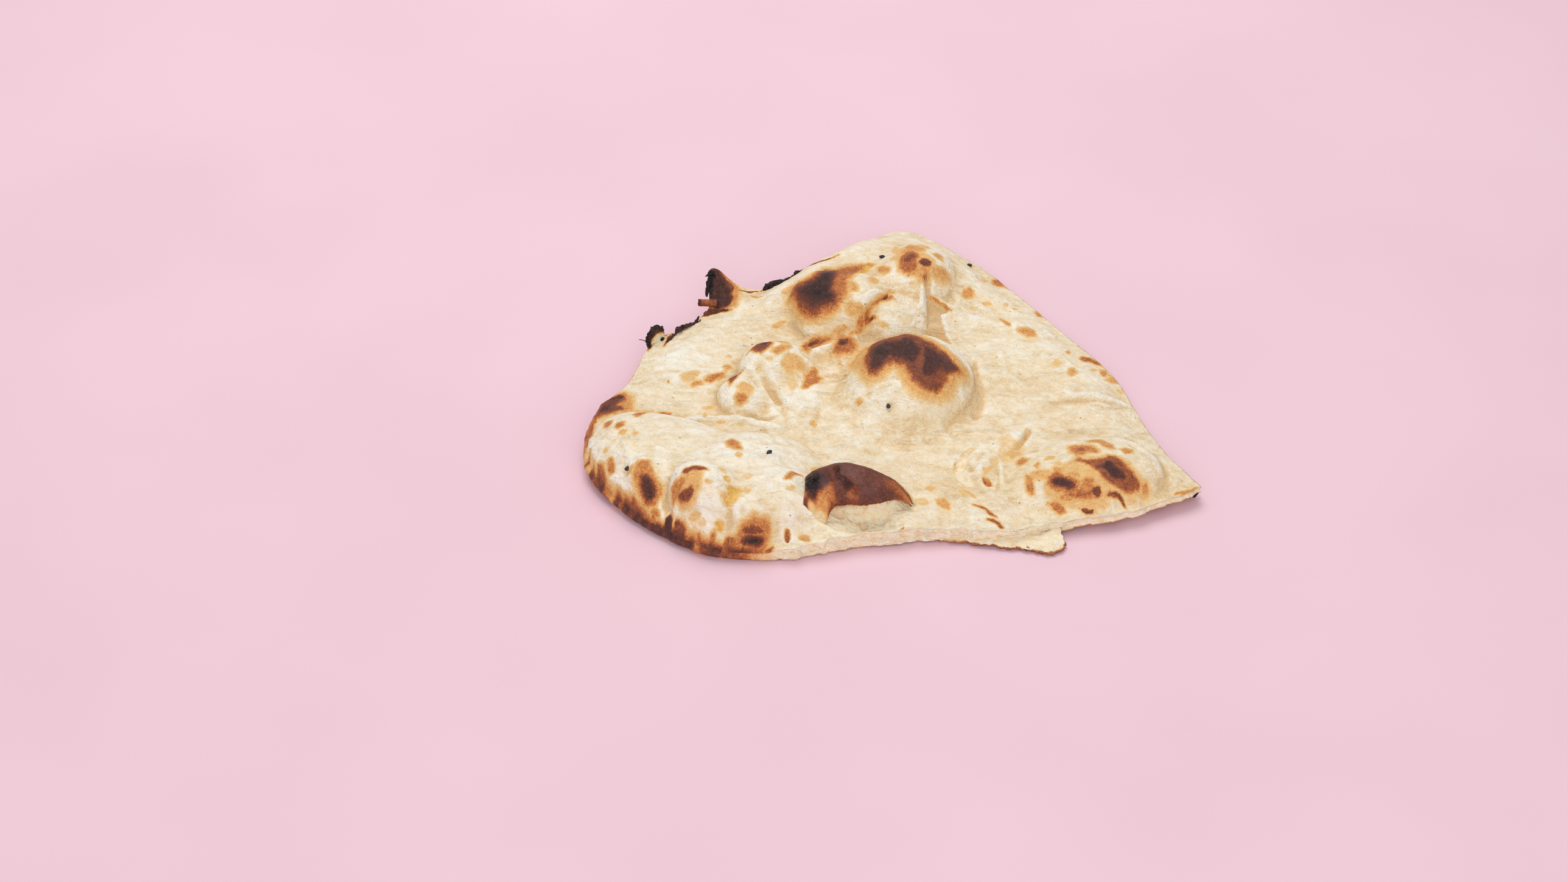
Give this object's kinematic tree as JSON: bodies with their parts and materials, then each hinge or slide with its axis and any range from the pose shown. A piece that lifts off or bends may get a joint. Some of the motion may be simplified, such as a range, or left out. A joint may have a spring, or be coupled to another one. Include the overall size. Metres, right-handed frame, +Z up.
{
  "type": "naan bread",
  "caption": "Wedge of a large tandoor-baked flatbread: blistered pale top with charred spots, baked crust rim on the left, cut edge behind, torn edge in front.",
  "frame": {"origin": "middle of the bread's box, at the level of the table it lies on", "axes": "+Z up through the bread, +X towards its pointed end, -Y towards the torn front edge"},
  "size_m": [0.2258, 0.195, 0.0263],
  "materials": {
    "baked_dough": "matte pale baked dough with golden to dark brown toasting",
    "charred_crust": "satin charred crust",
    "nigella_seed": "satin black seed"
  },
  "bodies": {
    "root": {"naan": "baked_dough"}
  },
  "joints": []
}
